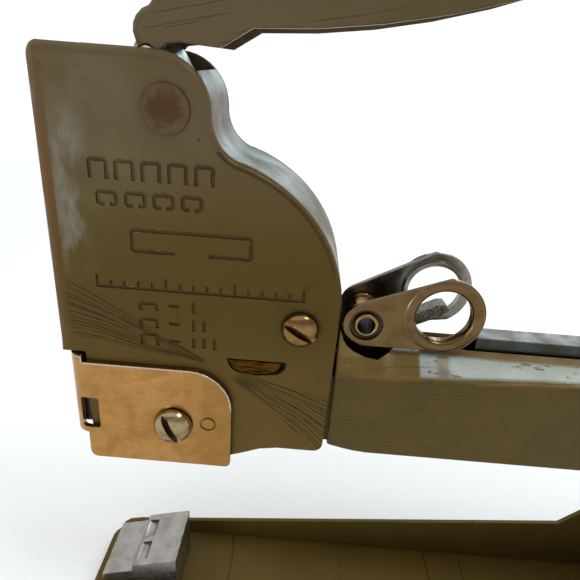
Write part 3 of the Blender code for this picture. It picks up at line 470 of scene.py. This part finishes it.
def lever_painted_light(look, colour):
    """Old oil and painted shade round the eyelet, and painted highlights on the rims."""
    oil_and_shade = look.ease(look.distance(*EYELET), 3.1, 4.3, 1.0, 0.0)
    # painted highlight on the rims
    colour = look.mix(look.product(look.edges(0.35), 0.3), colour, LEVER_RIM_HIGHLIGHT)
    # old oil and painted shade round the eyelet
    return look.mix(look.product(oil_and_shade, 0.85), colour, LEVER_OIL_AND_SHADE)


def key_metal():
    """Brown oiled steel, streaked along its length."""
    look = Look("key_steel", 1.0)
    streak = look.noise(1.6, 4.0, 0.7, stretch=(0.35, 1.0, 2.2), seed=90.0)
    colour = look.mix(look.ease(streak, 0.38, 0.62), KEY_BRIGHT, KEY_DARK)
    return look.finish(colour, look.ease(streak, 0.3, 0.7, 0.28, 0.5), streak, 0.06)


def cast_metal():
    """Grainy cast metal, with painted shade underneath."""
    look = Look("cast_grey", 1.0)
    grain = look.noise(0.5, 3.0, 0.7, seed=95.0)
    split = look.nodes.new("ShaderNodeSeparateXYZ")
    look.feed(split.inputs[0], look.geometry.outputs["Normal"])
    colour = look.mix(look.ease(grain, 0.35, 0.65), CAST_DARK, CAST_LIGHT)
    # painted shade on the faces turned down
    colour = look.mix(look.ease(split.outputs[2], 0.25, -0.2), colour, CAST_UNDER_SHADE)
    return look.finish(colour, look.ease(grain, 0.3, 0.7, 0.55, 0.38), grain, 0.16)


def floor_look():
    """A pale floor that brightens far from the object."""
    look = Look("pale_floor")
    grain = look.noise(3.0, 3.0, 0.5, seed=2.0)
    colour = look.mix(look.ease(grain, 0.3, 0.7, 0.0, 0.5), (0.86, 0.86, 0.855), (0.88, 0.88, 0.88))
    squares = look.math("ADD", look.product(look.x, look.x), look.product(look.y, look.y))
    away = look.math("SQRT", squares)
    look.feed(look.shader.inputs["Emission Strength"], look.ease(away, 450.0, 1400.0, 0.0, 0.3))
    look.shader.inputs["Emission Color"].default_value = WHITE
    return look.finish(colour, 0.75, grain, 0.05)


MATERIALS = {
    "head": head_paint("head_enamel", 0.15),
    "band": head_paint("band_enamel", 0.33),
    "arm": arm_paint(),
    "jaw": plain_paint("jaw_enamel", 5.0),
    "handle": plain_paint("handle_enamel", 8.0),
    "liner": plain_paint("liner_enamel", 12.0),
    "gold": metal(
        "nose_gold", (0.420, 0.222, 0.070), (0.30, 0.145, 0.037), 0.25, 11.0, 0.9,
        brush=(0.25, 1.0, 1.0), local=plate_painted_light,
    ),
    "brass": metal(
        "aged_brass", (0.42, 0.25, 0.09), (0.20, 0.10, 0.035), 0.20, 17.0, 0.8, stain=(0.10, 0.045, 0.015),
    ),
    "barrel": metal("barrel_brass", (0.55, 0.33, 0.12), (0.36, 0.19, 0.06), 0.26, 18.0, 0.7, grime_and_shade_amount=0.3),
    "screw": metal(
        "screw_plate", (0.37, 0.29, 0.165), (0.19, 0.11, 0.045), 0.14, 19.0, 0.8,
        stain=(0.10, 0.05, 0.02), grime_and_shade_amount=0.97,
    ),
    "old_brass": metal(
        "screw_brass", (0.27, 0.155, 0.056), (0.13, 0.062, 0.018), 0.17, 20.0, 0.8,
        stain=(0.06, 0.025, 0.008), grime_and_shade_amount=0.97,
    ),
    "eyelet": metal(
        "eyelet_brass", (0.30, 0.20, 0.09), (0.20, 0.12, 0.045), 0.30, 22.0, 0.6,
        grime_and_shade_amount=0.3, local=eyelet_bore_shade,
    ),
    "nickel": metal(
        "ring_nickel", (0.150, 0.095, 0.042), (0.100, 0.052, 0.017), 0.17, 23.0, 0.8, local=lever_painted_light,
    ),
    "far_nickel": metal(
        "far_ring_nickel", (0.27, 0.26, 0.225), (0.17, 0.145, 0.11), 0.24, 27.0, 0.8,
        hairs=0.0, local=lever_painted_light,
    ),
    "steel": metal(
        "oiled_steel", (0.34, 0.33, 0.31), (0.20, 0.17, 0.13), 0.30, 31.0, 0.6,
        stain=(0.12, 0.06, 0.03), brush=(0.2, 1.0, 1.0),
    ),
    "rail": metal(
        "rail_steel", (0.060, 0.061, 0.054), (0.042, 0.038, 0.028), 0.32, 33.0, 0.7,
        stain=(0.08, 0.045, 0.02), brush=(0.12, 1.0, 1.0), hairs=0.3, local=rail_painted_shadow,
    ),
    "spring": metal(
        "drawn_wire", (0.40, 0.39, 0.37), (0.22, 0.19, 0.15), 0.25, 37.0, 0.6, stain=(0.12, 0.06, 0.03),
    ),
    "key": key_metal(),
    "cast": cast_metal(),
}


# ---------------------------------------------------------------- pieces
JOIN_DISTANCE = 2e-6
SLIVER = 1e-6
FLAT = math.radians(0.6)


def weld(node):
    """A CAD node's faces as one closed mesh with its flat faces whole."""
    data = frame["nodes"][node].data
    grid = bmesh.new()
    points = [grid.verts.new(v.co) for v in data.vertices]
    for face in data.polygons:
        grid.faces.new([points[i] for i in face.vertices])
    bmesh.ops.remove_doubles(grid, verts=grid.verts, dist=JOIN_DISTANCE)
    bmesh.ops.dissolve_degenerate(grid, edges=grid.edges, dist=SLIVER)
    bmesh.ops.dissolve_limit(grid, angle_limit=FLAT, verts=grid.verts, edges=grid.edges)
    return grid


def mark_edges(mesh):
    """Smooth shading with hard corners."""
    grid = bmesh.new()
    grid.from_mesh(mesh)
    for face in grid.faces:
        face.smooth = True
    for edge in grid.edges:
        edge.smooth = edge.calc_face_angle(0.0) < SHARP
    grid.to_mesh(mesh)
    grid.free()


def new_object(name, grid):
    """A mesh object from a grid of faces."""
    mesh = bpy.data.meshes.new(name)
    grid.to_mesh(mesh)
    grid.free()
    piece = bpy.data.objects.new(name, mesh)
    bpy.context.scene.collection.objects.link(piece)
    return piece


def dress(piece, look, body):
    """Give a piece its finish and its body."""
    mark_edges(piece.data)
    piece.data.materials.clear()
    piece.data.materials.append(MATERIALS[look])
    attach(piece, body)


def round_corners(piece, width):
    """Round a piece's corners."""
    bevel = piece.modifiers.new("corners", "BEVEL")
    bevel.width = width * MM
    bevel.segments = 2
    bevel.limit_method = "ANGLE"
    bevel.angle_limit = SHARP
    bevel.use_clamp_overlap = True
    bevel.miter_outer = "MITER_ARC"
    normals = piece.modifiers.new("normals", "WEIGHTED_NORMAL")
    normals.keep_sharp = True


def carve(piece, cutter):
    """Cut one mesh out of a piece."""
    cut = piece.modifiers.new("carve", "BOOLEAN")
    cut.solver = "EXACT"
    cut.object = cutter
    graph = bpy.context.evaluated_depsgraph_get()
    piece.data = bpy.data.meshes.new_from_object(piece.evaluated_get(graph))
    piece.modifiers.remove(cut)
    bpy.data.objects.remove(cutter, do_unlink=True)


STROKE = 0.75
TICK = 0.6
BEND = 0.6
CHAMFER = 0.25
STAMP_Y = (-11.7, -10.97)


def bar(x, z, wide, tall):
    """A small bar with chamfered corners."""
    right, top, c = x + wide, z + tall, CHAMFER
    return [(x + c, z), (right - c, z), (right, z + c), (right, top - c),
            (right - c, top), (x + c, top), (x, top - c), (x, z + c)]


def open_staple(x, z, wide, tall):
    """A staple with straight legs."""
    right, top, t, c = x + wide, z + tall, STROKE, BEND
    return [(x, z), (x + t, z), (x + t, top - t), (right - t, top - t), (right - t, z), (right, z),
            (right, top - c), (right - c, top), (x + c, top), (x, top - c)]


def shut_staple(x, z, wide, tall, foot):
    """A staple with its legs folded in."""
    right, top, t, c = x + wide, z + tall, STROKE, BEND
    return [(x + c, z), (x + foot, z), (x + foot, z + t), (x + t, z + t), (x + t, top - t),
            (right - t, top - t), (right - t, z + t), (right - foot, z + t), (right - foot, z),
            (right - c, z), (right, z + c), (right, top - c), (right - c, top), (x + c, top),
            (x, top - c), (x, z + c)]


def comb(x, z, pitch, count):
    """A scale line with a tick at each step, and a longer one at each fifth."""
    points = [(x, z), (x + pitch * (count - 1) + TICK, z)]
    for k in reversed(range(count)):
        tall = 2.9 if k % 5 == 0 else 1.9
        left = x + pitch * k
        points += [(left + TICK, z + TICK), (left + TICK, z + tall), (left, z + tall)]
        if k:
            points.append((left, z + TICK))
    return points


def stamp_outlines():
    """Plain staple signs stamped in the side of the head."""
    outlines = [open_staple(-40.5 + 5.15 * k, 123.3, 4.0, 4.0) for k in range(5)]
    outlines += [shut_staple(-39.3 + 5.6 * k, 118.0, 4.4, 3.2, 1.6) for k in range(4)]
    outlines += [shut_staple(-33.0, 108.6, 25.0, 5.2, 9.0), comb(-40.8, 100.2, 2.9, 16)]
    for row in range(3):
        base = 95.6 - 4.3 * row
        outlines += [open_staple(-32.0, base, 4.2, 2.0 + 0.55 * row), bar(-25.6, base + 1.1, 2.4, 0.7)]
        outlines += [bar(-20.6 + 2.3 * k, base, 0.75, 2.7) for k in range(row + 1)]
    return outlines


def stamp(piece):
    """Press the signs into the head."""
    grid = bmesh.new()
    for outline in stamp_outlines():
        rings = [[grid.verts.new((x * MM, y * MM, z * MM)) for x, z in outline] for y in STAMP_Y]
        grid.faces.new(rings[0])
        grid.faces.new(rings[1][::-1])
        for k in range(len(outline)):
            grid.faces.new((rings[0][k - 1], rings[1][k - 1], rings[1][k], rings[0][k]))
    bmesh.ops.recalc_face_normals(grid, faces=grid.faces)
    carve(piece, new_object("stamp", grid))


def refine(node, look, width):
    """The CAD node with rounded corners and its worn finish."""
    piece = new_object(node + "_finished", weld(node))
    if node == "head_shell":
        stamp(piece)
    dress(piece, look, BODY_OF[node])
    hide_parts(node)
    round_corners(piece, width)


# each CAD node's material and the width of its rounded corners in millimetres
FINISHES = {
    "lower_jaw": ("jaw", 0.35), "anvil": ("steel", 0.3), "anvil_rivet_front": ("steel", 0.1),
    "anvil_rivet_rear": ("steel", 0.1), "jaw_pin": ("steel", 0.2), "jaw_pin_ring": ("steel", 0.1),
    "hinge_washer_near": ("steel", 0.1), "hinge_washer_far": ("steel", 0.1), "jaw_spring": ("spring", 0.15),
    "spring_rivet": ("steel", 0.1), "head_shell": ("head", 0.18), "head_cover": ("band", 0.12),
    "nose_plate": ("gold", 0.5), "nose_screw_near": ("screw", 0.12), "nose_screw_far": ("screw", 0.12),
    "arm_screw": ("old_brass", 0.12), "arm_screw_nut": ("steel", 0.2), "screw_spacer": ("steel", 0.1),
    "handle_pin": ("head", 0.1), "arm_cover": ("arm", 0.45), "arm_liner": ("liner", 0.12),
    "driver_guide": ("steel", 0.1), "cross_key": ("key", 0.15), "cover_rivet_near": ("steel", 0.1),
    "cover_rivet_far": ("steel", 0.1), "return_spring": ("spring", 0.0), "handle_lever": ("handle", 0.35),
    "push_arm": ("steel", 0.2), "push_rivet": ("steel", 0.1), "plunger": ("steel", 0.15),
    "driver_blade": ("spring", 0.08), "blade_rivet": ("steel", 0.08), "magazine_core": ("rail", 0.12),
    "top_rail": ("rail", 0.2), "ring_bracket": ("brass", 0.12), "ring_eyelet": ("eyelet", 0.1),
    "spacer_barrel": ("barrel", 0.1), "collar_near": ("barrel", 0.1), "collar_far": ("barrel", 0.1),
    "spring_rod": ("steel", 0.1), "rod_anchor": ("steel", 0.1), "staple_strip": ("spring", 0.08),
    "latch_pin": ("steel", 0.1), "follower_spring": ("spring", 0.0), "near_ring_lever": ("nickel", 0.22),
    "far_ring_lever": ("far_nickel", 0.22), "latch_tongue": ("cast", 0.25),
    "staple_follower": ("brass", 0.15),
}
for finished, (finish, corner) in FINISHES.items():
    refine(finished, finish, corner)


FLARE_STEPS = 72
FLARE_FRONT = [(8.75, 6.12), (8.45, 6.26), (7.9, 6.42), (7.3, 6.44), (6.75, 6.30), (6.38, 6.0), (6.22, 5.5)]
FLARE_BACK = [(6.22, 4.9), (6.35, 4.72), (6.8, 4.80), (7.4, 5.2), (8.2, 5.8)]
RINGS = {"near_ring": (-1.0, 11.3, "nickel"), "far_ring": (1.0, 18.7, "far_nickel")}


def turned(name, centre, profile, look, body):
    """A ring of (radius, y) points revolved about a line across the object."""
    grid = bmesh.new()
    rings = []
    for k in range(FLARE_STEPS):
        turn = 2.0 * math.pi * k / FLARE_STEPS
        out, up = math.cos(turn), math.sin(turn)
        places = [(centre[0] + r * out, y, centre[1] + r * up) for r, y in profile]
        rings.append([grid.verts.new([length * MM for length in place]) for place in places])
    for k in range(FLARE_STEPS):
        for j in range(len(profile)):
            grid.faces.new((rings[k - 1][j - 1], rings[k][j - 1], rings[k][j], rings[k - 1][j]))
    bmesh.ops.recalc_face_normals(grid, faces=grid.faces)
    dress(new_object(name, grid), look, body)


def ring_flares():
    """The turned-up rim round each finger hole."""
    for ring, (side, tilt, look) in RINGS.items():
        angle = math.radians(tilt)
        centre = (EYELET[0] + RING_REACH * math.cos(angle), EYELET[1] + RING_REACH * math.sin(angle))
        profile = [(r, side * y) for r, y in FLARE_FRONT + FLARE_BACK]
        turned(ring + "_flare", centre, profile, look, ring)


ring_flares()


# ---------------------------------------------------------------- studio
def stage():
    """The pale floor."""
    floor = bmesh.new()
    bmesh.ops.create_grid(floor, x_segments=8, y_segments=8, size=9.0)
    mesh = bpy.data.meshes.new("floor")
    floor.to_mesh(mesh)
    floor.free()
    mesh.materials.append(floor_look())
    ground = bpy.data.objects.new("floor", mesh)
    bpy.context.scene.collection.objects.link(ground)


def lamp(name, place, target, size, power, colour):
    """A soft rectangular light that isn't itself seen by the camera."""
    data = bpy.data.lights.new(name, "AREA")
    data.shape = "RECTANGLE"
    data.size, data.size_y = size
    data.energy = power
    data.color = colour
    light = bpy.data.objects.new(name, data)
    light.location = place
    light.rotation_euler = (Vector(target) - Vector(place)).to_track_quat("-Z", "Y").to_euler()
    light.visible_camera = False
    bpy.context.scene.collection.objects.link(light)


def studio():
    """A soft pale sky, a broad sun and four window-like lamps."""
    world = bpy.data.worlds.new("studio")
    world.use_nodes = True
    nodes = world.node_tree.nodes
    way = nodes.new("ShaderNodeSeparateXYZ")
    sky = nodes.new("ShaderNodeTexCoord").outputs["Generated"]
    world.node_tree.links.new(sky, way.inputs[0])
    fade = nodes.new("ShaderNodeMapRange")
    world.node_tree.links.new(way.outputs[2], fade.inputs[0])
    for socket, number in zip(fade.inputs[1:5], (0.12, 0.42, 1.07, 0.50)):
        socket.default_value = number
    world.node_tree.links.new(fade.outputs[0], nodes["Background"].inputs["Strength"])
    nodes["Background"].inputs["Color"].default_value = (0.96, 0.98, 1.0, 1.0)
    bpy.context.scene.world = world
    data = bpy.data.lights.new("soft_top", "SUN")
    data.energy = 1.25
    data.angle = math.radians(100.0)
    data.color = (1.0, 0.985, 0.96)
    top = bpy.data.objects.new("soft_top", data)
    top.rotation_euler = (math.radians(-12.0), math.radians(-8.0), 0.0)
    bpy.context.scene.collection.objects.link(top)
    lamp("skylight", (0.50, -0.12, 0.985), (0.48, -0.1, 0.0), (0.46, 0.26), 4.0, (0.82, 0.93, 1.0))
    lamp("back_window", (0.55, 0.95, 0.62), (0.06, 0.0, 0.1), (0.6, 0.35), 3.0, (0.85, 0.94, 1.0))
    lamp("low_window", (0.13, 1.25, 0.34), (0.0, 0.0, 0.1), (0.9, 0.22), 1.3, (0.60, 0.93, 1.0))
    lamp("side_strip", (-0.205, -0.36, 0.075), (-0.045, -0.011, 0.12), (0.07, 0.14), 0.22, (0.90, 0.96, 1.0))
    bpy.context.scene.view_settings.view_transform = "Standard"


def camera():
    """The view from close in front, above the nose."""
    data = bpy.data.cameras.new("camera")
    data.lens = 31.90
    data.sensor_width = 36.0
    data.clip_start = 0.005
    data.clip_end = 20.0
    seen = bpy.data.objects.new("camera", data)
    seen.location = (0.0012785, -0.1089149, 0.1466914)
    seen.rotation_euler = [math.radians(angle) for angle in (65.84, -3.925, 2.509)]
    bpy.context.scene.collection.objects.link(seen)
    bpy.context.scene.camera = seen


stage()
studio()
camera()
